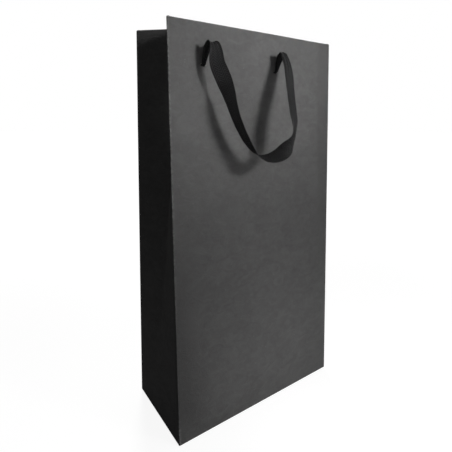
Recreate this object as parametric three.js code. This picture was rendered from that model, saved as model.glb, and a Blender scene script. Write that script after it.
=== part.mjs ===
// A paper gift bag for two wine bottles, standing open: two leaning panels, tucked side gussets,
// a block bottom with a loose base card, stiffened top hems and two flat ribbon handles.
// Millimetres, +Z up, front towards -Y, origin at the middle of the footprint on the table.

import * as THREE from 'three';

// The bag, measured over the outer faces
const WIDTH = 180;
const DEPTH = 84;
const HEIGHT = 350;
const MOUTH_DEPTH = 61;

// Sheet thicknesses and the air between layers
const PAPER = 0.4;
const HEM_CARD = 1.0;
const BASE_CARD = 1.2;
const RIBBON = 0.6;
const GAP = 0.3;

// Top hem
const HEM = 48;
const CARD_HEIGHT = 45;
const HEM_SIDE_MARGIN = 7;
const GUSSET_HEM_MARGIN = 6;

// Bottom
const LONG_FLAP_OVERLAP = 14;
const SIDE_FLAP = 30;
const FLAP_CORNER = 2;
const BASE_CARD_SIDE_ROOM = 2.5;
const BASE_CARD_CORNER = 2;
const SEAM_FLAP = 15;

// Ribbon handles: where they leave the panels
const RIBBON_WIDTH = 13;
const EXIT_X = [-59, 17];
const EXIT_UP = 317;
const SLIT_LENGTH = 5.6;
const SLIT_HEIGHT = 2.6;

// Worked out from the sizes above
const HALF_WIDTH = WIDTH / 2;
const HALF_DEPTH = DEPTH / 2;
const PANEL_LEAN = Math.atan((DEPTH - MOUTH_DEPTH) / 2 / HEIGHT);
const SLOPE = HEIGHT / Math.cos(PANEL_LEAN);
const TUCK = Math.sqrt(HALF_DEPTH ** 2 - (MOUTH_DEPTH / 2) ** 2);
const BETWEEN_PAPERS = PAPER + GAP;
const TAIL_OUT = -(PAPER + GAP + RIBBON / 2);
const CARD_FRONT = -(PAPER + GAP + RIBBON + GAP);
const TURN_IN_FRONT = CARD_FRONT - HEM_CARD - GAP;

// One ribbon end in its wall's frame: [aside from its slit, up the panel, out of its face, width]. It
// lies flat behind the panel, bunches up in the slit, and rises outside to the top of its arc.
const TAIL = [
  [0, 292, TAIL_OUT, 13], [0, 308, TAIL_OUT, 13], [0, 313.5, TAIL_OUT, 8.5], [0, 316.2, TAIL_OUT, 4.2],
  [0, 317, -0.6, 3.4], [0, 317, 0.3, 3.4], [0, 317.5, 1.1, 3.4],
];
const LEFT_END = [...TAIL, [0.2, 320, 2, 4], [1, 326, 3.6, 6], [2.2, 331.2, 5.4, 7.4], [3, 333.6, 7.5, 8]];
const RIGHT_END = [...TAIL, [0.1, 319.5, 2, 4], [0.6, 325, 3.6, 6], [1.3, 329.9, 5.4, 7.4], [1.6, 331.6, 7.4, 8]];

// The hanging loop in its wall's frame: [x, up, out] of the middle line, then the direction
// across the ribbon in the same axes. The ribbon turns over once, at the bottom.
const LOOP = [
  [-55.6, 334, 8, 1, 0, 0],
  [-54.6, 332.7, 10, 1, 0, 0.12],
  [-54, 326.9, 11.6, 0.95, 0, 0.3],
  [-53.8, 317.2, 12.8, 0.84, 0, 0.54],
  [-51.3, 310.4, 13.6, 0.82, 0.1, 0.56],
  [-48.7, 304.4, 14.2, 0.72, 0.12, 0.69],
  [-44.4, 293, 14.8, 0.3, 0.15, 0.94],
  [-40.8, 281.2, 15.4, 0.04, 0.08, 1],
  [-37.9, 273.4, 15.8, -0.02, 0.04, 1],
  [-33.7, 265, 16, -0.06, 0.02, 1],
  [-28.9, 256.5, 16.6, -0.12, 0, 0.99],
  [-23.4, 248.2, 18, -0.28, -0.05, 0.96],
  [-19, 243.5, 19.5, -0.5, -0.1, 0.86],
  [-13.9, 241.3, 21, -0.45, -0.35, 0.82],
  [-8.5, 241.1, 22.6, -0.3, -0.55, 0.78],
  [-3.1, 242.2, 24, -0.1, -0.7, 0.7],
  [2.5, 245, 25.4, 0.15, -0.82, 0.52],
  [6.5, 248.6, 26.6, 0.4, -0.85, 0.15],
  [10.7, 253.7, 27.6, 0.64, -0.6, -0.35],
  [13.5, 258.8, 28.2, 0.75, -0.32, -0.55],
  [14.9, 265.2, 28.2, 0.83, -0.05, -0.56],
  [15.5, 273.4, 27, 0.92, 0.05, -0.39],
  [16.1, 282, 24.6, 0.94, 0.05, -0.33],
  [18.5, 301.4, 18.6, 0.966, 0, -0.26],
  [20.5, 312.8, 15, 0.99, 0, -0.16],
  [21.2, 321.2, 12.2, 1, 0, -0.08],
  [20.5, 328.3, 9.8, 1, 0, 0],
  [19, 332.2, 8, 1, 0, 0],
];
const LOOP_STEPS = 64;
const GATHERED_WIDTH = 8;
const GATHERED_STEPS = 8;

// Materials: black-dyed paper, grey board and black woven ribbon
const paper = (colour) => new THREE.MeshStandardMaterial({ color: colour, roughness: 0.85, metalness: 0 });
const PAPER_COLOUR = 0x3c3c3c;
const BOARD_COLOUR = 0x6f6d68;
const RIBBON_COLOUR = 0x161616;

const bag = new THREE.Group();

function addMesh(parent, name, geometry, colour = PAPER_COLOUR) {
  const mesh = new THREE.Mesh(geometry, paper(colour));
  mesh.name = name;
  parent.add(mesh);
  return mesh;
}

// ---- Shapes ----

function polygon(points) {
  return new THREE.Shape(points.map(([x, y]) => new THREE.Vector2(x, y)));
}

function rectangle(x0, y0, x1, y1) {
  return polygon([[x0, y0], [x1, y0], [x1, y1], [x0, y1]]);
}

// A rectangle with its corners cut off at 45 degrees
function cutRectangle(x0, y0, x1, y1, cut) {
  return polygon([
    [x0 + cut, y0], [x1 - cut, y0], [x1, y0 + cut], [x1, y1 - cut],
    [x1 - cut, y1], [x0 + cut, y1], [x0, y1 - cut], [x0, y0 + cut],
  ]);
}

// A flat sheet of this outline, its upper face at `top` along the outline's normal
function flatSheet(shape, top, thickness) {
  const geometry = new THREE.ExtrudeGeometry(shape, {
    depth: thickness, bevelEnabled: false, curveSegments: 6,
  });
  return geometry.translate(0, 0, top - thickness);
}

// A closed sheet from two grids of points, one for each face. The face of `upper` looks along
// (next column) x (next row).
function closedSheet(upper, lower) {
  const rows = upper.length;
  const columns = upper[0].length;
  const positions = [...upper.flat(), ...lower.flat()].flatMap((p) => [p.x, p.y, p.z]);
  const up = (i, j) => i * columns + j;
  const low = (i, j) => (rows + i) * columns + j;
  const index = [];
  const quad = (a, b, c, d) => index.push(a, b, c, a, c, d);
  const lastRow = rows - 1;
  const lastColumn = columns - 1;
  for (let i = 0; i < lastRow; i += 1) {
    for (let j = 0; j < lastColumn; j += 1) {
      quad(up(i, j), up(i, j + 1), up(i + 1, j + 1), up(i + 1, j));
      quad(low(i, j), low(i + 1, j), low(i + 1, j + 1), low(i, j + 1));
    }
    quad(up(i, 0), up(i + 1, 0), low(i + 1, 0), low(i, 0));
    quad(up(i, lastColumn), low(i, lastColumn), low(i + 1, lastColumn), up(i + 1, lastColumn));
  }
  for (let j = 0; j < lastColumn; j += 1) {
    quad(up(0, j), low(0, j), low(0, j + 1), up(0, j + 1));
    quad(up(lastRow, j), up(lastRow, j + 1), low(lastRow, j + 1), low(lastRow, j));
  }
  const geometry = new THREE.BufferGeometry();
  geometry.setAttribute('position', new THREE.Float32BufferAttribute(positions, 3));
  geometry.setIndex(index);
  return geometry;
}

// ---- Front and back walls ----

// A wall's frame: x across, y up the leaning panel, z out of its outer face
function wallFrame(side) {
  const turned = new THREE.Group();
  turned.rotation.z = side < 0 ? 0 : Math.PI;
  const leaning = new THREE.Group();
  leaning.position.y = -HALF_DEPTH;
  leaning.rotation.x = Math.PI / 2 - PANEL_LEAN;
  turned.add(leaning);
  bag.add(turned);
  return leaning;
}

function slit(x) {
  const half = SLIT_LENGTH / 2 - SLIT_HEIGHT / 2;
  const hole = new THREE.Path();
  hole.absarc(x - half, EXIT_UP, SLIT_HEIGHT / 2, Math.PI / 2, Math.PI * 1.5);
  hole.absarc(x + half, EXIT_UP, SLIT_HEIGHT / 2, -Math.PI / 2, Math.PI / 2);
  hole.closePath();
  return hole;
}

function addWall(name, side) {
  const wall = wallFrame(side);
  const panel = rectangle(-HALF_WIDTH, 0, HALF_WIDTH, SLOPE);
  EXIT_X.forEach((x) => panel.holes.push(slit(-side * x)));
  addMesh(wall, `${name}_panel`, flatSheet(panel, 0, PAPER));

  const hemHalf = HALF_WIDTH - HEM_SIDE_MARGIN;
  const top = SLOPE - GAP;
  const card = rectangle(-hemHalf, top - CARD_HEIGHT, hemHalf, top);
  addMesh(wall, `${name}_hem_card`, flatSheet(card, CARD_FRONT, HEM_CARD), BOARD_COLOUR);
  const turnIn = rectangle(-hemHalf, SLOPE - HEM, hemHalf, SLOPE);
  addMesh(wall, `${name}_hem_turn_in`, flatSheet(turnIn, TURN_IN_FRONT, PAPER));
  return wall;
}

// ---- Gussets ----

// Grids of both faces of a sheet that spans the left gusset's front half, `from` and `to` being
// depths inside its outer face, and the fractions running across and up the half
function gussetHalf(from, to, across, upward, columns, rows) {
  const corner = new THREE.Vector3(-HALF_WIDTH, -HALF_DEPTH, 0);
  const cornerTop = new THREE.Vector3(-HALF_WIDTH, -MOUTH_DEPTH / 2, HEIGHT);
  const apex = new THREE.Vector3(-HALF_WIDTH, 0, HALF_DEPTH);
  const creaseTop = new THREE.Vector3(-HALF_WIDTH + TUCK, 0, HEIGHT);
  const edge = (v) => corner.clone().lerp(cornerTop, v);
  const crease = (v) => apex.clone().lerp(creaseTop, v);
  const surface = (u, v) => edge(v).lerp(crease(v), u);
  const inward = (u, v) => {
    const alongU = crease(v).sub(edge(v));
    const alongV = cornerTop.clone().sub(corner).lerp(creaseTop.clone().sub(apex), u);
    return alongU.cross(alongV).normalize();
  };
  const grid = (depth) => Array.from({ length: rows + 1 }, (_, i) => {
    const v = THREE.MathUtils.lerp(upward[0], upward[1], i / rows);
    return Array.from({ length: columns + 1 }, (__, j) => {
      const u = THREE.MathUtils.lerp(across[0], across[1], j / columns);
      return surface(u, v).addScaledVector(inward(u, v), depth);
    });
  });
  return [grid(to), grid(from)];
}

// The same sheet on another quarter of the bag: side -1 is left, wall -1 is front
function mirroredSheet([inner, outer], side, wall) {
  const flip = (grid) => grid.map((row) => {
    const moved = row.map((p) => new THREE.Vector3(-side * p.x, -wall * p.y, p.z));
    return side * wall < 0 ? moved.reverse() : moved;
  });
  return closedSheet(flip(inner), flip(outer));
}

function addGusset(name, side) {
  const nearCrease = 1 - GAP / 2 / HALF_DEPTH;
  const nearWall = 1.5 / HALF_DEPTH;
  const aboveFoot = 0.5 / HEIGHT;
  const half = gussetHalf(0, PAPER, [nearWall, nearCrease], [aboveFoot, 1], 4, 16);
  const hem = gussetHalf(
    BETWEEN_PAPERS, BETWEEN_PAPERS + PAPER,
    [GUSSET_HEM_MARGIN / HALF_DEPTH, nearCrease], [1 - HEM / HEIGHT, 1], 4, 3,
  );
  [['front', -1], ['rear', 1]].forEach(([place, wall]) => {
    addMesh(bag, `${name}_gusset_${place}_half`, mirroredSheet(half, side, wall));
    addMesh(bag, `${name}_gusset_${place}_turn_in`, mirroredSheet(hem, side, wall));
  });

  const reach = HALF_DEPTH - BETWEEN_PAPERS - 0.1;
  const foot = flatSheet(polygon([[-reach, 0], [reach, 0], [0, reach]]), PAPER, PAPER);
  foot.applyMatrix4(new THREE.Matrix4().makeBasis(
    new THREE.Vector3(0, 1, 0), new THREE.Vector3(0, 0, 1), new THREE.Vector3(1, 0, 0),
  ));
  const mesh = addMesh(bag, `${name}_gusset_foot`, foot);
  mesh.position.x = side < 0 ? -HALF_WIDTH : HALF_WIDTH - PAPER;
}

// ---- Bottom ----

function addBottom() {
  const x = HALF_WIDTH - BETWEEN_PAPERS;
  const y = HALF_DEPTH - BETWEEN_PAPERS;
  const layer = (n) => n * BETWEEN_PAPERS + PAPER;

  const back = cutRectangle(-x, -LONG_FLAP_OVERLAP, x, y, FLAP_CORNER);
  addMesh(bag, 'bottom_back_flap', flatSheet(back, layer(0), PAPER));
  const front = cutRectangle(-x, -y, x, LONG_FLAP_OVERLAP, FLAP_CORNER);
  addMesh(bag, 'bottom_front_flap', flatSheet(front, layer(1), PAPER));
  [['left', -1], ['right', 1]].forEach(([name, side]) => {
    const points = [[x, 1 - y], [x, y - 1], [x - SIDE_FLAP, y - 1 - SIDE_FLAP], [x - SIDE_FLAP, 1 - y + SIDE_FLAP]];
    const flap = polygon(points.map(([px, py]) => [side * px, py]));
    addMesh(bag, `bottom_${name}_flap`, flatSheet(flap, layer(2), PAPER));
  });

  const cardX = HALF_WIDTH - BASE_CARD_SIDE_ROOM;
  const cardY = HALF_DEPTH - BASE_CARD_SIDE_ROOM;
  const card = cutRectangle(-cardX, -cardY, cardX, cardY, BASE_CARD_CORNER);
  addMesh(bag, 'base_card', flatSheet(card, layer(2) + GAP + BASE_CARD, BASE_CARD), BOARD_COLOUR);
}

// ---- Ribbon handles ----

// A flat ribbon through stations of { centre, across, width }
function ribbonSolid(stations) {
  const upper = [];
  const lower = [];
  stations.forEach(({ centre, across, width }, i) => {
    const before = stations[Math.max(i - 1, 0)].centre;
    const after = stations[Math.min(i + 1, stations.length - 1)].centre;
    const along = after.clone().sub(before).normalize();
    const wide = across.clone().addScaledVector(along, -across.dot(along)).normalize();
    const normal = wide.clone().cross(along).multiplyScalar(RIBBON / 2);
    const left = centre.clone().addScaledVector(wide, -width / 2);
    const right = centre.clone().addScaledVector(wide, width / 2);
    upper.push([left.clone().add(normal), right.clone().add(normal)]);
    lower.push([left.sub(normal), right.sub(normal)]);
  });
  return closedSheet(upper, lower);
}

function ribbonEnd(rows, x) {
  return ribbonSolid(rows.map(([aside, up, out, width]) => ({
    centre: new THREE.Vector3(x + aside, up, out), across: new THREE.Vector3(1, 0, 0), width,
  })));
}

function ribbonLoop(shift) {
  const middle = new THREE.CatmullRomCurve3(LOOP.map(([x, up, out]) => new THREE.Vector3(x + shift, up, out)));
  const across = new THREE.CatmullRomCurve3(LOOP.map(([, , , x, up, out]) => new THREE.Vector3(x, up, out)));
  const width = (i) => {
    const spread = THREE.MathUtils.smoothstep(Math.min(i, LOOP_STEPS - i), 0, GATHERED_STEPS);
    return THREE.MathUtils.lerp(GATHERED_WIDTH, RIBBON_WIDTH, spread);
  };
  const stations = Array.from({ length: LOOP_STEPS + 1 }, (_, i) => ({
    centre: middle.getPoint(i / LOOP_STEPS),
    across: across.getPoint(i / LOOP_STEPS),
    width: width(i),
  }));
  return ribbonSolid(stations);
}

// Both panels are slit at the same places, so the back handle, seen from behind, sits shifted
function addHandle(wall, name, side) {
  const shift = side < 0 ? 0 : -(EXIT_X[0] + EXIT_X[1]);
  addMesh(wall, `${name}_ribbon_loop`, ribbonLoop(shift), RIBBON_COLOUR);
  addMesh(wall, `${name}_ribbon_left_end`, ribbonEnd(LEFT_END, EXIT_X[0] + shift), RIBBON_COLOUR);
  addMesh(wall, `${name}_ribbon_right_end`, ribbonEnd(RIGHT_END, EXIT_X[1] + shift), RIBBON_COLOUR);
}

// ---- Assembly ----

const frontWall = addWall('front', -1);
const backWall = addWall('back', 1);
const seamFlap = rectangle(HALF_WIDTH - 1.5 - SEAM_FLAP, 4, HALF_WIDTH - 1.5, SLOPE - HEM - GAP);
addMesh(backWall, 'seam_glue_flap', flatSheet(seamFlap, -BETWEEN_PAPERS, PAPER));
addGusset('left', -1);
addGusset('right', 1);
addBottom();
addHandle(frontWall, 'front', -1);
addHandle(backWall, 'back', 1);

export default bag;
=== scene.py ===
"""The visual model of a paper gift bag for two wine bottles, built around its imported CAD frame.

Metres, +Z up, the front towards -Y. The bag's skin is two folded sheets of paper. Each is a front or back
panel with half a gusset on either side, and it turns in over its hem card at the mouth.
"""

import math

import bpy
import numpy as np
from mathutils import Matrix, Vector


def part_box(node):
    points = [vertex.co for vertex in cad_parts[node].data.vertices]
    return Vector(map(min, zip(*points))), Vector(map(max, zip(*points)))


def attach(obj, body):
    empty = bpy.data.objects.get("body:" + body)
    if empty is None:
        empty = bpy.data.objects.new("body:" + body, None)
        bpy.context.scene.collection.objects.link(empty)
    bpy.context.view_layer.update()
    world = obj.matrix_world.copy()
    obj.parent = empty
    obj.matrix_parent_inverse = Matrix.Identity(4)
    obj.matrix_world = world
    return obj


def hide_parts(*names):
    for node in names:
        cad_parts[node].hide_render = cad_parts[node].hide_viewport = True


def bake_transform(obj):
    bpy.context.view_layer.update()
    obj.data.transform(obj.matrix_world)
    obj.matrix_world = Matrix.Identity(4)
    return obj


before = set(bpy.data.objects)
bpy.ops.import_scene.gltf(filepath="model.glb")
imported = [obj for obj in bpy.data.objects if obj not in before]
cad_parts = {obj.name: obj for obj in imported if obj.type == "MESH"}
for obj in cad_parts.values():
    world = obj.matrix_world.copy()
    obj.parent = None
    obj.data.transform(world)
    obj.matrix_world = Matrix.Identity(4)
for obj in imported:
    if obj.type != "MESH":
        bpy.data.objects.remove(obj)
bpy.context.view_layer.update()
MM = 0.001

# ---- The bag's driving sizes ----

HALF_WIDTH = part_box("front_panel")[1].x
HALF_DEPTH = -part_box("front_panel")[0].y
HEIGHT = 350 * MM
HALF_MOUTH = 30.5 * MM
PAPER = 0.4 * MM
BETWEEN_PAPERS = 0.7 * MM
LEAN = math.atan((HALF_DEPTH - HALF_MOUTH) / HEIGHT)
TUCK = math.sqrt(HALF_DEPTH**2 - HALF_MOUTH**2)

HEM = 48 * MM
HEM_THICKNESS = 3.3 * MM
GUSSET_HEM_THICKNESS = 1.1 * MM
HEM_EASE = 7 * MM

FOLD_RADIUS = 0.45 * MM
INNER_FOLD_RADIUS = 0.35 * MM
TOP_RADIUS = 1.2 * MM
BOTTOM_RADIUS = 0.65 * MM
CREASE_RADIUS = 0.7 * MM
FOLD_STEPS = 6
EDGE_STEPS = 5

RIBBON_WIDTH = 13 * MM
RIBBON = 0.6 * MM
EXIT_X = (-59 * MM, 17 * MM)
EXIT_UP = 317 * MM
SLIT_LENGTH = 5.6 * MM
SLIT_HEIGHT = 2.6 * MM

# ---- Small mesh tools ----


def smooth_step(t):
    t = np.clip(t, 0, 1)
    return t * t * (3 - 2 * t)


def grid_normals(points):
    """Unit normals of a grid of points, along (next column) x (next row)."""
    across = np.gradient(points, axis=1)
    along = np.gradient(points, axis=0)
    normals = np.cross(across, along)
    return normals / np.maximum(np.linalg.norm(normals, axis=2, keepdims=True), 1e-12)


def closed_sheet(name, outer, inner, open_cells=None, values=None, uv=None):
    """A closed thin sheet from two grids of points with the same rows and columns. open_cells marks the
    cells that are cut out, values are named numbers per point, and uv is in metres along the sheet."""
    rows, columns = outer.shape[:2]
    count = rows * columns
    place = np.arange(count).reshape(rows, columns)
    quads = np.stack([place[:-1, :-1], place[:-1, 1:], place[1:, 1:], place[1:, :-1]], axis=2)
    quads = quads.reshape(-1, 4) if open_cells is None else quads[~open_cells]
    edges = np.concatenate([quads[:, [i, (i + 1) % 4]] for i in range(4)])
    there = edges[:, 0] * count + edges[:, 1]
    back = edges[:, 1] * count + edges[:, 0]
    a, b = edges[~np.isin(back, there)].T
    walls = np.stack([b, a, a + count, b + count], axis=1)
    faces = np.concatenate([quads, quads[:, ::-1] + count, walls])

    mesh = bpy.data.meshes.new(name)
    points = np.concatenate([outer.reshape(-1, 3), inner.reshape(-1, 3)])
    mesh.from_pydata(points.tolist(), [], faces.tolist())
    mesh.update()
    for label, grid in (values or {}).items():
        attribute = mesh.attributes.new(label, "FLOAT", "POINT")
        attribute.data.foreach_set("value", np.tile(grid.ravel(), 2).astype(np.float32))
    if uv is not None:
        corners = np.zeros(len(mesh.loops), np.int32)
        mesh.loops.foreach_get("vertex_index", corners)
        both = np.concatenate([uv.reshape(-1, 2)] * 2)
        layer = mesh.uv_layers.new(name="Weave")
        layer.data.foreach_set("uv", both[corners].astype(np.float32).ravel())
    mesh.shade_smooth()
    mesh.set_sharp_from_angle(angle=math.radians(50))
    made = bpy.data.objects.new(name, mesh)
    bpy.context.scene.collection.objects.link(made)
    return made


def waves(u, v, sizes, share, seed):
    """A smooth random height over the plane. Each wave is `share` of its size high."""
    rng = np.random.default_rng(seed)
    total = np.zeros(np.broadcast(u, v).shape)
    for size in sizes:
        angle = rng.uniform(0, math.pi)
        phase = rng.uniform(0, 2 * math.pi)
        run = u * math.cos(angle) + v * math.sin(angle)
        total = total + size * share * np.sin(run * 2 * math.pi / size + phase)
    return total


# ---- Camera ----

CAMERA_PLACE = Vector((-215.7, -297.3, 274.7)) * MM
CAMERA_YAW = math.radians(-35.64)
CAMERA_PITCH = math.radians(-8.14)
CAMERA_ROLL = math.radians(0.46)
LENS = 29.87
LENS_SHIFT = (-0.0239, -0.1188)


def add_camera():
    data = bpy.data.cameras.new("camera")
    data.sensor_width = 36
    data.lens = LENS
    data.shift_x, data.shift_y = LENS_SHIFT
    data.clip_start = 0.01
    made = bpy.data.objects.new("camera", data)
    turn = Matrix.Rotation(CAMERA_YAW, 4, "Z") @ Matrix.Rotation(math.pi / 2 + CAMERA_PITCH, 4, "X")
    made.matrix_world = Matrix.Translation(CAMERA_PLACE) @ turn @ Matrix.Rotation(CAMERA_ROLL, 4, "Z")
    bpy.context.scene.collection.objects.link(made)
    bpy.context.scene.camera = made


# ---- Materials ----

# A Mix node's colour sockets share their names with its other kinds, so they are taken by number
MIX_A, MIX_B, MIX_RESULT = 6, 7, 2


class Shader:
    """A material's node tree, with short calls to add and join nodes."""

    def __init__(self, name):
        self.material = bpy.data.materials.new(name)
        self.material.use_nodes = True
        self.nodes = self.material.node_tree.nodes
        self.links = self.material.node_tree.links
        self.surface = self.nodes["Principled BSDF"]

    def add(self, kind, settings=None, **inputs):
        made = self.nodes.new("ShaderNode" + kind)
        for key, value in (settings or {}).items():
            setattr(made, key, value)
        for key, value in inputs.items():
            self.give(made, key.replace("_", " "), value)
        return made

    def give(self, node, key, value):
        socket = node.inputs[int(key) if key.isdigit() else key]
        if isinstance(value, bpy.types.NodeSocket):
            self.links.new(value, socket)
        else:
            socket.default_value = value

    def math(self, operation, *values, clamp=False):
        made = self.add("Math", {"operation": operation, "use_clamp": clamp})
        for i, value in enumerate(values):
            self.give(made, str(i), value)
        return made.outputs[0]

    def noise(self, place, scale, detail=3.0, roughness=0.55, distortion=0.0):
        made = self.add("TexNoise", Vector=place, Scale=scale, Detail=detail)
        made.inputs["Roughness"].default_value = roughness
        made.inputs["Distortion"].default_value = distortion
        return made.outputs["Fac"]

    def ramp(self, value, low, high, to_low=0.0, to_high=1.0):
        made = self.add("MapRange", {"interpolation_type": "SMOOTHSTEP"}, Value=value)
        made.inputs["From Min"].default_value = low
        made.inputs["From Max"].default_value = high
        made.inputs["To Min"].default_value = to_low
        made.inputs["To Max"].default_value = to_high
        return made.outputs["Result"]

    def blend_colours(self, factor, a, b):
        made = self.add("Mix", {"data_type": "RGBA"}, Factor=factor)
        for socket, colour in ((made.inputs[MIX_A], a), (made.inputs[MIX_B], b)):
            if isinstance(colour, tuple):
                socket.default_value = (*colour, 1)
            else:
                self.links.new(colour, socket)
        return made.outputs[MIX_RESULT]

    def stretched(self, place, x, y, z):
        made = self.add("Mapping", Vector=place)
        made.inputs["Scale"].default_value = (x, y, z)
        return made.outputs["Vector"]

    def bump(self, height, distance, strength=1.0, under=None):
        made = self.add("Bump", Height=height, Distance=distance, Strength=strength)
        if under is not None:
            self.links.new(under, made.inputs["Normal"])
        return made.outputs["Normal"]

    def finish(self, colour, roughness, normal, specular=0.5):
        self.links.new(colour, self.surface.inputs["Base Color"])
        self.links.new(roughness, self.surface.inputs["Roughness"])
        self.links.new(normal, self.surface.inputs["Normal"])
        self.surface.inputs["Specular IOR Level"].default_value = specular
        return self.material


def grey(value):
    return (value, value * 0.99, value * 0.985)


def paper_material():
    """Uncoated paper dyed black through: cloudy, with fibres in both directions, rubbed folds, and painted
    shade along the front's margins.
    """
    s = Shader("black_dyed_paper")
    place = s.add("TexCoord").outputs["Object"]
    cloud = s.noise(place, 38, 2)
    mottle = s.noise(place, 230, 5, 0.62, 0.4)
    grain = s.noise(place, 1500, 3)
    lying = s.noise(s.stretched(place, 0.35, 0.35, 2.2), 900, 3, 0.6, 0.6)
    standing = s.noise(s.stretched(place, 2.2, 2.2, 0.35), 900, 3, 0.6, 0.6)
    fibres = s.math("MAXIMUM", lying, standing)

    cloudy = s.math("MULTIPLY", s.ramp(cloud, 0.3, 0.7), 0.3)
    mottled = s.math("MULTIPLY", s.ramp(mottle, 0.32, 0.68), 0.45)
    tone = s.math("ADD", cloudy, mottled)
    tone = s.math("ADD", tone, s.math("MULTIPLY", s.ramp(fibres, 0.45, 0.75), 0.25), clamp=True)
    smears = s.noise(s.stretched(place, 0.8, 0.8, 1.25), 95, 4, 0.6, 1.2)
    colour = s.blend_colours(tone, grey(0.0375), grey(0.0555))
    colour = s.blend_colours(s.ramp(smears, 0.42, 0.72, 0.0, 0.4), colour, grey(0.0640))
    colour = s.blend_colours(s.ramp(smears, 0.44, 0.26, 0.0, 0.4), colour, grey(0.0330))

    specks = s.add("TexVoronoi", {"feature": "F1"}, Vector=place, Scale=95.0)
    specks.inputs["Randomness"].default_value = 1.0
    colour = s.blend_colours(s.ramp(specks.outputs["Distance"], 0.035, 0.065, 0.35, 0.0), colour, grey(0.09))

    worn = s.add("Attribute", {"attribute_name": "fold_wear"}).outputs["Fac"]
    rub = s.math("MULTIPLY", worn, s.ramp(s.noise(place, 420, 4), 0.40, 0.62))
    colour = s.blend_colours(rub, colour, grey(0.115))
    # Painted shade: the front's margins are coloured darker
    margin = s.add("Attribute", {"attribute_name": "painted_margin_shade"}).outputs["Fac"]
    colour = s.blend_colours(margin, colour, grey(0.034))

    roughness = s.ramp(s.math("ADD", mottle, s.math("MULTIPLY", grain, 0.5)), 0.5, 1.0, 0.78, 0.92)
    normal = s.bump(s.math("ADD", grain, s.math("MULTIPLY", fibres, 1.5)), 0.06 * MM, 0.7)
    normal = s.bump(mottle, 0.14 * MM, 0.7, normal)
    normal = s.bump(smears, 0.45 * MM, 0.5, normal)
    return s.finish(colour, roughness, normal, 0.28)


def board_material():
    """Grey chipboard: mixed pulp with light and dark flecks."""
    s = Shader("grey_board")
    place = s.add("TexCoord").outputs["Object"]
    pulp = s.noise(place, 420, 5, 0.65, 0.5)
    fibres = s.noise(s.stretched(place, 0.3, 2.0, 1.0), 1300, 3, 0.6, 0.8)
    cloud = s.noise(place, 45, 2)
    colour = s.blend_colours(s.ramp(pulp, 0.3, 0.72), (0.13, 0.125, 0.115), (0.21, 0.205, 0.19))
    colour = s.blend_colours(s.ramp(cloud, 0.3, 0.7, 0.0, 0.35), colour, (0.24, 0.23, 0.21))
    flecks = s.add("TexVoronoi", {"feature": "F1"}, Vector=place, Scale=320.0).outputs["Distance"]
    colour = s.blend_colours(s.ramp(flecks, 0.08, 0.16, 0.6, 0.0), colour, (0.05, 0.05, 0.05))
    roughness = s.ramp(pulp, 0.2, 0.8, 0.82, 0.96)
    normal = s.bump(s.math("ADD", pulp, fibres), 0.09 * MM, 0.7)
    return s.finish(colour, roughness, normal, 0.25)


# The tape's weave, in millimetres
HERRINGBONE = 3.25
TWILL = 2.1
YARN = 0.32
PICK = 0.42
SELVEDGE = (5.6, 5.9)


def ribbon_material():
    """Black herringbone tape. The weave's UVs are metres across and along the ribbon."""
    s = Shader("black_herringbone_tape")
    uv = s.add("UVMap", {"uv_map": "Weave"}).outputs["UV"]
    split = s.add("SeparateXYZ", Vector=uv)
    across = s.math("MULTIPLY", split.outputs["X"], 1 / MM)
    along = s.math("MULTIPLY", split.outputs["Y"], 1 / MM)
    rib = s.math("PINGPONG", across, HERRINGBONE)
    turn = 2 * math.pi
    phase = s.math("MULTIPLY", s.math("ADD", along, rib), turn / TWILL)
    twill = s.math("MULTIPLY_ADD", s.math("SINE", phase), 0.5, 0.5)
    yarn = s.math("MULTIPLY_ADD", s.math("SINE", s.math("MULTIPLY", across, turn / YARN)), 0.5, 0.5)
    picks = s.math("MULTIPLY_ADD", s.math("SINE", s.math("MULTIPLY", along, turn / PICK)), 0.5, 0.5)
    selvedge = s.ramp(s.math("ABSOLUTE", across), *SELVEDGE)
    fluff = s.noise(s.add("TexCoord").outputs["Object"], 900, 3)
    body = s.math("ADD", s.math("MULTIPLY", twill, 0.72), s.math("MULTIPLY", yarn, 0.28))
    woven = s.math("MULTIPLY", body, s.math("SUBTRACT", 1.0, selvedge))
    height = s.math("ADD", woven, s.math("MULTIPLY", picks, selvedge))
    # Painted shade: the weave's low yarns are coloured darker than its raised ones, and the fluff adds random
    # tone
    painted_weave_shade_and_fluff = s.math("ADD", s.math("MULTIPLY", height, 0.8), s.math("MULTIPLY", fluff, 0.35), clamp=True)
    colour = s.blend_colours(painted_weave_shade_and_fluff, (0.0005, 0.0005, 0.0006), (0.0140, 0.0140, 0.0143))
    roughness = s.ramp(painted_weave_shade_and_fluff, 0.1, 1.0, 0.72, 0.52)
    normal = s.bump(height, 0.16 * MM, 0.9)
    return s.finish(colour, roughness, normal, 0.07)


# ---- Ribbon handles ----

# One ribbon end in its wall's frame, in millimetres: (aside from its slit, up, out of the face, width).
# It lies flat behind the panel, bunches up in the slit and stays narrow to the top of its arc.
TAIL_OUT = -1.0
TAIL = [(0, 292, TAIL_OUT, 13), (0, 308, TAIL_OUT, 13), (0, 313.5, TAIL_OUT, 8.5), (0, 316.2, TAIL_OUT, 4.2)]
THROUGH = [(0, 317, -0.6, 3.4), (0, 317, 0.3, 3.4), (0, 317.5, 1.1, 3.4)]
LEFT_RISE = [(0.2, 320, 2, 4), (1, 326, 3.6, 6), (2.2, 331.2, 5.4, 7.4)]
RIGHT_RISE = [(0.1, 319.5, 2, 4), (0.6, 325, 3.6, 6), (1.3, 329.9, 5.4, 7.4)]

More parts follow.
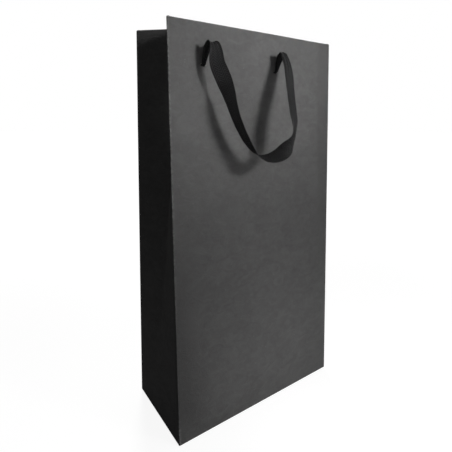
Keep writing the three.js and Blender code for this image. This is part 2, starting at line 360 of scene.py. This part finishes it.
# The hanging loop in its wall's frame: the middle line's (x, up, out) in millimetres, then the direction
# across the ribbon in the same axes. The ribbon turns over once: it goes edge-on down its left leg, and
# faces out again past the bottom.
LOOP = [
    (-55.6, 334, 8, 1, 0, 0),
    (-54.6, 332.7, 10, 1, 0, 0.12),
    (-54, 326.9, 11.6, 0.95, 0, 0.3),
    (-53.8, 317.2, 12.8, 0.84, 0, 0.54),
    (-51.3, 310.4, 13.6, 0.82, 0.1, 0.56),
    (-48.7, 304.4, 14.2, 0.72, 0.12, 0.69),
    (-44.4, 293, 14.8, 0.3, 0.15, 0.94),
    (-40.8, 281.2, 15.4, 0.04, 0.08, 1),
    (-37.9, 273.4, 15.8, -0.02, 0.04, 1),
    (-33.7, 265, 16, -0.06, 0.02, 1),
    (-28.9, 256.5, 16.6, -0.12, 0, 0.99),
    (-23.4, 248.2, 18, -0.28, -0.05, 0.96),
    (-19, 243.5, 19.5, -0.5, -0.1, 0.86),
    (-13.9, 241.3, 21, -0.45, -0.35, 0.82),
    (-8.5, 241.1, 22.6, -0.3, -0.55, 0.78),
    (-3.1, 242.2, 24, -0.1, -0.7, 0.7),
    (2.5, 245, 25.4, 0.15, -0.82, 0.52),
    (6.5, 248.6, 26.6, 0.4, -0.85, 0.15),
    (10.7, 253.7, 27.6, 0.64, -0.6, -0.35),
    (13.5, 258.8, 28.2, 0.75, -0.32, -0.55),
    (14.9, 265.2, 28.2, 0.83, -0.05, -0.56),
    (15.5, 273.4, 27, 0.92, 0.05, -0.39),
    (16.1, 282, 24.6, 0.94, 0.05, -0.33),
    (18.5, 301.4, 18.6, 0.966, 0, -0.26),
    (20.5, 312.8, 15, 0.99, 0, -0.16),
    (21.2, 321.2, 12.2, 1, 0, -0.08),
    (20.5, 328.3, 9.8, 1, 0, 0),
    (19, 332.2, 8, 1, 0, 0),
]
GATHERED = [8, 8.9, 10.4, 12.2]
RIBBON_STEP = 0.9 * MM
RIBBON_COLUMNS = 14
RIBBON_CUP = 1.1 * MM
RIBBON_PLEAT = 0.35 * MM
RIBBON_RIPPLES = (31 * MM, 19 * MM, 12 * MM)
RIBBON_RIPPLE_SHARE = 0.006


def on_wall(wall, x, up, out):
    """A point or points of a wall's frame in the row frame. wall is -1 for the front, 1 for the back."""
    y = -HALF_DEPTH + up * math.sin(LEAN) - out * math.cos(LEAN)
    z = up * math.cos(LEAN) + out * math.sin(LEAN)
    return np.stack([-wall * x, -wall * y, z], axis=-1)


def spline(rows, step):
    """Rows whose first three numbers are a place, made smooth and even along the line: each new row's
    distance along the line, and the rows."""
    rows = np.array(rows, float)
    at = np.concatenate([[0], np.cumsum(np.linalg.norm(np.diff(rows[:, :3], axis=0), axis=1) ** 0.5)])
    slope = np.gradient(rows, at, axis=0)

    def values(t):
        i = np.clip(np.searchsorted(at, t, side="right") - 1, 0, len(at) - 2)
        h = (at[i + 1] - at[i])[:, None]
        s = (t[:, None] - at[i][:, None]) / h
        return (
            (1 + 2 * s) * (1 - s) ** 2 * rows[i] + s * (1 - s) ** 2 * h * slope[i]
            + s**2 * (3 - 2 * s) * rows[i + 1] - s**2 * (1 - s) * h * slope[i + 1]
        )

    fine = np.linspace(0, at[-1], 6000)
    line = values(fine)[:, :3]
    length = np.concatenate([[0], np.cumsum(np.linalg.norm(np.diff(line, axis=0), axis=1))])
    even = np.linspace(0, length[-1], int(length[-1] / step) + 2)
    return even, values(np.interp(even, length, fine))


def ribbon_rows(shift):
    """The whole ribbon's rows in its wall's frame, in metres: place, direction across, width."""
    def end(rise, x):
        rows = TAIL + THROUGH + rise
        return [(x / MM + shift + aside, up, out, 1, 0, 0, width) for aside, up, out, width in rows]

    full = [RIBBON_WIDTH / MM] * (len(LOOP) - 2 * len(GATHERED))
    widths = GATHERED + full + GATHERED[::-1]
    loop = [(x + shift, up, out, *across, width) for (x, up, out, *across), width in zip(LOOP, widths)]
    rows = np.array(end(LEFT_RISE, EXIT_X[0]) + loop + end(RIGHT_RISE, EXIT_X[1])[::-1])
    rows[:, [0, 1, 2, 6]] *= MM
    return rows


def ribbon_piece(name, wall, finish):
    shift = 0 if wall < 0 else -(EXIT_X[0] + EXIT_X[1]) / MM
    length, rows = spline(ribbon_rows(shift), RIBBON_STEP)
    line, across, width = rows[:, :3], rows[:, 3:6], np.minimum(rows[:, 6], RIBBON_WIDTH)
    along = np.gradient(line, axis=0)
    along /= np.linalg.norm(along, axis=1, keepdims=True)
    across = across - along * np.sum(along * across, axis=1, keepdims=True)
    across /= np.linalg.norm(across, axis=1, keepdims=True)
    facing = np.cross(across, along)

    s = np.linspace(-1, 1, RIBBON_COLUMNS + 1)
    gather = 1 - width / RIBBON_WIDTH
    free = smooth_step((line[:, 2] - 1.5 * MM) / (3 * MM))
    cup = RIBBON_CUP * free * (0.25 + 1.6 * gather)
    pleat = RIBBON_PLEAT * gather * 2
    rise = cup[:, None] * (1 - s**2) + pleat[:, None] * np.cos(s * 3 * math.pi)[None]
    ripple = waves(s[None] * 4 * MM, length[:, None], RIBBON_RIPPLES, RIBBON_RIPPLE_SHARE, 5 + wall)
    rise = rise + ripple * free[:, None]
    aside = across[:, None] * (width[:, None] / 2 * s)[:, :, None]
    middle = line[:, None] + aside + facing[:, None] * rise[:, :, None]
    half = (RIBBON / 2 * (1 - 0.55 * np.abs(s) ** 9))[None, :, None]
    normals = grid_normals(middle)
    upper, lower = middle + normals * half, middle - normals * half
    uv = np.stack(np.broadcast_arrays(s[None] * RIBBON_WIDTH / 2, length[:, None]), axis=2)

    def place(points):
        return on_wall(wall, points[..., 0], points[..., 1], points[..., 2])

    made = closed_sheet(name, place(upper), place(lower), uv=uv)
    made.data.materials.append(finish)
    return made, place(line), length[-1]


def add_handle(name, wall, finish):
    made, path, length = ribbon_piece(f"{name}_ribbon_handle", wall, finish)
    ends = [f"{name}_ribbon_left_end", f"{name}_ribbon_right_end"]
    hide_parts(f"{name}_ribbon_loop", *ends)
    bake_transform(made)


# ---- The paper skin ----


def half_depth_at(z):
    return HALF_DEPTH - (HALF_DEPTH - HALF_MOUTH) * z / HEIGHT


SIDE_BOW = 1.0 * MM


def side_tuck(y, z):
    """How far a side's paper lies inside the flat side, at this y and height."""
    off_middle = np.sqrt(y**2 + CREASE_RADIUS**2)
    v = z / HEIGHT
    for _ in range(12):
        u = np.clip(1 - off_middle / half_depth_at(v * HEIGHT), 0, 1)
        v = np.clip((z - HALF_DEPTH * u) / (HEIGHT - HALF_DEPTH * u), 0, 1)
    slack = smooth_step(v / 0.3) * (1 - smooth_step((z - HEIGHT + HEM + 40 * MM) / (40 * MM)))
    return TUCK * u * v - SIDE_BOW * 4 * u * (1 - u) * slack


def corner_of(z, inset):
    """The left front corner at this height, inset from both faces, and the unit vector along the side."""
    y = -half_depth_at(z)
    reach = 6 * MM
    along = np.array([side_tuck(y + reach, z), reach])
    along = along / np.linalg.norm(along)
    start = np.array([-HALF_WIDTH, y]) + np.array([along[1], -along[0]]) * inset
    return start + along * (y + inset - start[1]) / along[1], along


def fold_arc(corner, along, radius):
    """Points of the fold at a corner, from the side to the panel."""
    panel = np.array([1.0, 0.0])
    half = math.acos(np.clip(along @ panel, -1, 1)) / 2
    middle = along + panel
    centre = corner + middle / np.linalg.norm(middle) * radius / math.sin(half)
    first = corner + along * radius / math.tan(half) - centre
    angles = np.linspace(0, math.pi - 2 * half, FOLD_STEPS + 1)
    c, s = np.cos(angles), np.sin(angles)
    return centre + np.stack([first[0] * c - first[1] * s, first[0] * s + first[1] * c], 1)


SIDE_COLUMNS = 18
NEAR_CREASE = np.array([-1.7, -1.1, -0.55, 0]) * MM


def half_plan(z, inset, radius, card_room, panel_x):
    """A half skin's plan at height z, from the left gusset's crease by the panel to the right one's."""
    arc = fold_arc(*corner_of(z, inset), radius)
    y = np.concatenate([np.linspace(arc[0][1], -2.5 * MM, SIDE_COLUMNS)[1:], NEAR_CREASE])
    tuck = side_tuck(y, z)
    tiny = 0.01 * MM
    slope = (side_tuck(y + tiny, z) - side_tuck(y - tiny, z)) / (2 * tiny)
    length = np.sqrt(1 + slope**2)
    side = np.stack([-HALF_WIDTH + tuck + inset / length, y - inset * slope / length], 1)
    side[-1, 1] = 0
    left = np.concatenate([side[::-1], arc])
    over_card = smooth_step((HALF_WIDTH - np.abs(panel_x)) / HEM_EASE)
    panel = np.stack([panel_x, arc[-1][1] + card_room * over_card], 1)
    return np.concatenate([left, panel, left[::-1] * [-1, 1]])


def with_slits(start, stop, step, exact, clear):
    """Evenly spaced numbers from start to stop, with the exact ones put in and none within clear of them."""
    even = np.linspace(start, stop, int(round((stop - start) / step)) + 1)
    keep = np.min(np.abs(even[:, None] - exact[None]), axis=1) > clear
    return np.sort(np.concatenate([even[keep], exact]))


SLIT_COLUMNS = np.linspace(-1, 1, 9) * SLIT_LENGTH / 2
SLIT_ROWS = np.array([-4, -2.2, -1, 1, 2.2, 4]) * SLIT_HEIGHT / 2

LIP_LIFT = 0.45 * MM
LIP_REACH = (5 * MM, 2.6 * MM)
PANEL_BOW = 1.6 * MM
PANEL_WAVES = (0.17, 0.15, 0.11, 0.09, 0.07, 0.052, 0.037)
PANEL_WAVE_SHARE = 0.0030
CALM_BELOW_HEM = 30 * MM
WEAR_WIDTH = 0.8 * MM
RIM_WEAR = 0.8

# Width and depth of the painted shade along the front's margins
RIGHT_BAND = 18 * MM
RIGHT_SHADE = 0.45
LEFT_BAND = 38 * MM
LEFT_SHADE = 0.9
LEFT_SHADE_TOP = 215 * MM


def panel_shape(x, z, seed):
    """How far a panel's paper stands out of its plane: a slack bow, and waves that die out at its edges."""
    inside = smooth_step((HALF_WIDTH - np.abs(x)) / (26 * MM)) * smooth_step(z / (35 * MM))
    near_hem = smooth_step((z - (HEIGHT - HEM - CALM_BELOW_HEM)) / CALM_BELOW_HEM)
    handling = waves(x, z, PANEL_WAVES, PANEL_WAVE_SHARE, seed)
    free_height = HEIGHT - HEM
    bow = PANEL_BOW * (1 - (x / HALF_WIDTH) ** 2) * np.sin(math.pi * np.clip(z / free_height, 0, 1)) ** 1.5
    return handling * inside * (1 - 0.75 * near_hem) + bow


def pulled_slit(x, z, slits):
    """The lips of the slits, lifted a little by the ribbon that leaves them."""
    lift = np.zeros(np.broadcast(x, z).shape)
    slit_z = EXIT_UP * math.cos(LEAN)
    for at in slits:
        aside, above = (x - at) / LIP_REACH[0], (z - slit_z) / LIP_REACH[1]
        lift = lift + LIP_LIFT * np.exp(-(aside**2) - above**2)
    return lift


def skin_piece(name, wall, finish, seed):
    slits = np.array(EXIT_X) if wall < 0 else -np.array(EXIT_X)
    slit_z = EXIT_UP * math.cos(LEAN)
    inner = HALF_WIDTH - 2.6 * MM
    exact_x = np.sort(np.concatenate([at + SLIT_COLUMNS for at in slits]))
    panel_x = with_slits(-inner, inner, 2.4 * MM, exact_x, 1 * MM)
    wall_z = with_slits(BOTTOM_RADIUS, HEIGHT - TOP_RADIUS, 3 * MM, slit_z + SLIT_ROWS, 1.2 * MM)

    rows, outside_rows = [], []

    def add(z, inset, hem_share):
        plan = half_plan(z, inset, FOLD_RADIUS, 0, panel_x)
        if hem_share:
            extra = HEM_THICKNESS - GUSSET_HEM_THICKNESS
            turned_in = half_plan(z, GUSSET_HEM_THICKNESS, INNER_FOLD_RADIUS, extra, panel_x)
            plan = plan + (turned_in - plan) * hem_share
        rows.append(np.column_stack([plan, np.full(len(plan), z)]))
        outside_rows.append(hem_share == 0)

    for angle in np.linspace(0, math.pi / 2, EDGE_STEPS):
        add(BOTTOM_RADIUS * (1 - math.cos(angle)), BOTTOM_RADIUS * (1 - math.sin(angle)), 0)
    for z in wall_z[1:]:
        add(z, 0, 0)
    rim = TOP_RADIUS / HEM_THICKNESS
    for angle in np.linspace(0, math.pi / 2, EDGE_STEPS)[1:]:
        add(HEIGHT - TOP_RADIUS * (1 - math.sin(angle)), 0, rim * (1 - math.cos(angle)))
    for angle in np.linspace(0, math.pi / 2, EDGE_STEPS):
        add(HEIGHT - TOP_RADIUS * (1 - math.cos(angle)), 0, 1 - rim * (1 - math.sin(angle)))
    for z in np.linspace(HEIGHT - TOP_RADIUS, HEIGHT - HEM, 14)[1:]:
        add(z, 0, 1)
    points = np.array(rows)
    outside = np.array(outside_rows)

    # The slits' cells are left open, and their rims drawn into a lens shape
    x, z = points[:, :, 0].copy(), points[:, :, 2].copy()
    centre_x = (x[:-1, :-1] + x[:-1, 1:]) / 2
    centre_z = (z[:-1, :-1] + z[1:, :-1]) / 2
    in_slit = np.min(np.abs(centre_x[:, :, None] - slits), axis=2) < SLIT_LENGTH / 2
    level = np.abs(centre_z - slit_z) < SLIT_HEIGHT / 4
    open_cells = in_slit & level & outside[:-1, None] & outside[1:, None]
    off = np.min(np.abs(x[:, :, None] - slits), axis=2) / (SLIT_LENGTH / 2)
    on_rim = (off < 1.01) & (np.abs(np.abs(z - slit_z) - SLIT_HEIGHT / 2) < 0.01 * MM) & outside[:, None]
    lens = np.sqrt(np.clip(1.03 - off**2, 0.02, 1))
    points[:, :, 2] = np.where(on_rim, slit_z + (z - slit_z) * lens, z)

    panel_part = smooth_step((HALF_WIDTH - np.abs(x)) / (2 * MM))
    on_panel = points[:, :, 1] < -half_depth_at(z) + HEM_THICKNESS * 1.2
    out = (panel_shape(x, z, seed) + pulled_slit(x, z, slits) * outside[:, None]) * panel_part * on_panel
    points[:, :, 1] -= out

    # Rubbing wears the dye off the corner folds and the mouth
    steps = np.linalg.norm(np.diff(points, axis=1), axis=2)
    along = np.concatenate([np.zeros((len(points), 1)), np.cumsum(steps, axis=1)], axis=1)
    left_fold = SIDE_COLUMNS + 2 + FOLD_STEPS // 2
    folds = (left_fold, points.shape[1] - 1 - left_fold)
    wear = sum(np.exp(-(((along - along[:, [at]]) / WEAR_WIDTH) ** 2)) for at in folds)
    near_top = np.exp(-(((points[:, :, 2] - HEIGHT) / WEAR_WIDTH) ** 2))
    wear = np.clip(wear + RIM_WEAR * near_top, 0, 1)

    # Painted shade: the front's colour is darker along its right margin above, and along its left margin
    # below
    from_left, from_right, up = HALF_WIDTH + x, HALF_WIDTH - x, points[:, :, 2]
    high = smooth_step((up - 110 * MM) / (150 * MM))
    low = smooth_step((LEFT_SHADE_TOP - up) / (130 * MM)) * smooth_step((up - 5 * MM) / (30 * MM))
    shade = RIGHT_SHADE * smooth_step((RIGHT_BAND - from_right) / (3 * MM)) * high
    shade = shade + LEFT_SHADE * smooth_step(1 - from_left / LEFT_BAND) * low
    shade = shade * on_panel * (1.0 if wall < 0 else 0.0)

    if wall > 0:
        points = points * [-1, -1, 1]
    normals = grid_normals(points)
    for edge in (0, -1):
        normals[:, edge, 1] = 0
        normals[:, edge] /= np.linalg.norm(normals[:, edge], axis=1, keepdims=True)
    values = {"fold_wear": wear, "painted_margin_shade": shade}
    made = closed_sheet(name, points, points - normals * PAPER, open_cells, values)
    made.data.materials.append(finish)
    return made


def add_skin(finish):
    for name, wall, gusset, seed in (("front", -1, "front", 11), ("back", 1, "rear", 23)):
        made = skin_piece(f"{name}_paper", wall, finish, seed)
        nodes = [f"{name}_panel", f"{name}_hem_turn_in"]
        for side in ("left", "right"):
            nodes += [f"{side}_gusset_{gusset}_half", f"{side}_gusset_{gusset}_turn_in"]
        if wall < 0:
            nodes += ["left_gusset_foot", "right_gusset_foot"]
        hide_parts(*nodes)
        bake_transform(made)


# ---- Bottom flaps ----

FLAP_WAVES = (0.06, 0.045, 0.03)
FLAP_WAVE_SHARE = 0.0006
FLAP_LIFT_MOST = 0.2 * MM
LONG_FLAP_OVERLAP = 14 * MM
LONG_FLAP_CORNER = 2 * MM
SIDE_FLAP = 30 * MM
SIDE_FLAP_CORNER = 0.5 * MM


def flap_piece(name, node, turn, half, reach, level, corner, slant, finish, seed):
    """A bottom flap: it leaves the fold at the foot of a wall and runs in on its own layer. turn is the
    angle that puts its fold on the right side, half is half the fold's length, and slant is how far its
    ends draw in for each length that it runs."""
    out = np.concatenate([np.linspace(0, 6 * MM, 8), np.linspace(6 * MM, reach, 24)[1:]])
    s = np.linspace(-1, 1, 49)
    trim = corner * smooth_step((out - reach + corner) / corner)
    length = half - slant * out - trim
    x = length[:, None] * s[None]
    y = np.broadcast_to(out[:, None], x.shape)
    rise = level * smooth_step(out / (5 * MM))
    off_fold = smooth_step((out - 8 * MM) / (12 * MM))
    lift = np.abs(waves(x, y, FLAP_WAVES, FLAP_WAVE_SHARE, seed)) * off_fold[:, None]
    z = rise[:, None] + np.minimum(lift, FLAP_LIFT_MOST)
    c, d = math.cos(turn), math.sin(turn)
    start = (HALF_DEPTH if abs(d) < 0.5 else HALF_WIDTH) - BOTTOM_RADIUS
    local_x, local_y = x, y - start
    points = np.stack([local_x * c - local_y * d, local_x * d + local_y * c, z], axis=2)
    inner = points + np.array([0, 0, PAPER])
    made = closed_sheet(name, points[:, ::-1], inner[:, ::-1])
    made.data.materials.append(finish)
    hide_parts(node)
    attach(made, "base")


def add_bottom(finish):
    x, y = HALF_WIDTH - BOTTOM_RADIUS, HALF_DEPTH - BOTTOM_RADIUS
    long_flap = y + LONG_FLAP_OVERLAP
    for name, turn, half, reach, layer, corner, slant in (
        ("back", math.pi, x, long_flap, 0, LONG_FLAP_CORNER, 0),
        ("front", 0, x, long_flap, 1, LONG_FLAP_CORNER, 0),
        ("left", -math.pi / 2, y, SIDE_FLAP, 2, SIDE_FLAP_CORNER, 1),
        ("right", math.pi / 2, y, SIDE_FLAP, 2, SIDE_FLAP_CORNER, 1),
    ):
        flap_piece(
            f"bottom_{name}_paper", f"bottom_{name}_flap", turn, half, reach,
            layer * BETWEEN_PAPERS, corner, slant, finish, 31 + layer,
        )


# ---- Stage ----

FLOOR_REACH = 8.0
FLOOR_DROP = 0.2 * MM
GLOW_NEAR, GLOW_FAR = 0.90, 1.0
GLOW_FROM, GLOW_TO = 0.15, 0.8
WORLD_LIGHT = 0.2


def add_stage():
    """A pale floor. To the camera it glows too, a little less near the bag than far from it, so that it
    fades into the white backdrop."""
    s = Shader("pale_floor")
    place = s.add("TexCoord").outputs["Object"]
    faint = s.ramp(s.noise(place, 3, 2), 0.3, 0.7)
    colour = s.blend_colours(faint, (0.19, 0.19, 0.19), (0.21, 0.21, 0.21))
    s.links.new(colour, s.surface.inputs["Base Color"])
    s.surface.inputs["Roughness"].default_value = 0.9
    s.surface.inputs["Specular IOR Level"].default_value = 0.05
    s.surface.inputs["Emission Color"].default_value = (1, 1, 1, 1)
    distance = s.add("VectorMath", {"operation": "LENGTH"}, Vector=place).outputs["Value"]
    glow = s.ramp(distance, GLOW_FROM, GLOW_TO, GLOW_NEAR, GLOW_FAR)
    seen = s.add("LightPath").outputs["Is Camera Ray"]
    s.links.new(s.math("MULTIPLY", glow, seen), s.surface.inputs["Emission Strength"])
    mesh = bpy.data.meshes.new("floor")
    corners = [(x * FLOOR_REACH, y * FLOOR_REACH, 0) for x, y in ((-1, -1), (1, -1), (1, 1), (-1, 1))]
    mesh.from_pydata(corners, [], [(0, 1, 2, 3)])
    floor = bpy.data.objects.new("floor", mesh)
    floor.location.z = -FLOOR_DROP
    floor.data.materials.append(s.material)
    bpy.context.scene.collection.objects.link(floor)


def add_lamp(name, target, direction, distance, size, spread, power):
    """A soft oval lamp, `distance` from its target in that direction, with its beam `spread` degrees wide."""
    data = bpy.data.lights.new(name, "AREA")
    data.shape = "ELLIPSE"
    data.size, data.size_y = size
    data.spread = math.radians(spread)
    data.energy = power
    made = bpy.data.objects.new(name, data)
    toward = Vector(direction).normalized()
    made.location = Vector(target) + toward * distance
    made.rotation_euler = toward.to_track_quat("Z", "Y").to_euler()
    made.visible_camera = False
    bpy.context.scene.collection.objects.link(made)


def add_world(strength):
    """Even light of this strength from all round, and plain white where the camera sees past the floor."""
    world = bpy.data.worlds.new("studio")
    world.use_nodes = True
    bpy.context.scene.world = world
    nodes, links = world.node_tree.nodes, world.node_tree.links
    background = nodes["Background"]
    background.inputs["Color"].default_value = (1, 1, 1, 1)
    backdrop = nodes.new("ShaderNodeBackground")
    backdrop.inputs["Color"].default_value = (1, 1, 1, 1)
    backdrop.inputs["Strength"].default_value = 1.0
    background.inputs["Strength"].default_value = strength
    path = nodes.new("ShaderNodeLightPath")
    mix = nodes.new("ShaderNodeMixShader")
    links.new(path.outputs["Is Camera Ray"], mix.inputs[0])
    links.new(background.outputs[0], mix.inputs[1])
    links.new(backdrop.outputs[0], mix.inputs[2])
    links.new(mix.outputs[0], nodes["World Output"].inputs["Surface"])


# ---- Assembly ----

add_camera()
RIBBON_FINISH = ribbon_material()
PAPER_FINISH = paper_material()
BOARD_FINISH = board_material()
add_handle("front", -1, RIBBON_FINISH)
add_handle("back", 1, RIBBON_FINISH)
add_skin(PAPER_FINISH)
add_bottom(PAPER_FINISH)
for node, finish in (
    ("front_hem_card", BOARD_FINISH),
    ("back_hem_card", BOARD_FINISH),
    ("base_card", BOARD_FINISH),
    ("seam_glue_flap", PAPER_FINISH),
):
    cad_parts[node].data.materials.clear()
    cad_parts[node].data.materials.append(finish)

add_stage()
add_world(WORLD_LIGHT)
# Each lamp: name, target, direction to the lamp, distance, size, spread in degrees, power in watts
add_lamp("key", (-0.01, -0.03, 0.345), (0.5, -0.82, 0.27), 0.75, (0.2, 0.2), 30, 0.375)
add_lamp("broad_fill", (0, -0.04, 0.1), (0.6, -0.8, 0.05), 1.5, (0.5, 0.5), 180, 4.5)
add_lamp("side_strip", (0.03, -0.04, 0.08), (0.8, -0.6, 0), 0.45, (0.1, 0.3), 180, 0.52)
add_lamp("foot_fill", (0, -0.04, 0.03), (0.2, -0.95, 0.1), 0.2, (0.1, 0.1), 140, 0.21)
add_lamp("rim_fill", (-0.02, -0.03, 0.34), (-0.1, -0.4, 0.9), 0.2, (0.12, 0.12), 180, 0.05)
add_lamp("ribbon_fill", (-0.033, -0.055, 0.285), (-0.887, -0.46, 0.02), 0.3, (0.06, 0.06), 26, 0.017)
add_lamp("behind", (0, 0.04, 0.2), (0.35, 0.9, 0.2), 1.2, (0.4, 0.4), 40, 1.2)
bpy.context.scene.view_settings.view_transform = "Standard"
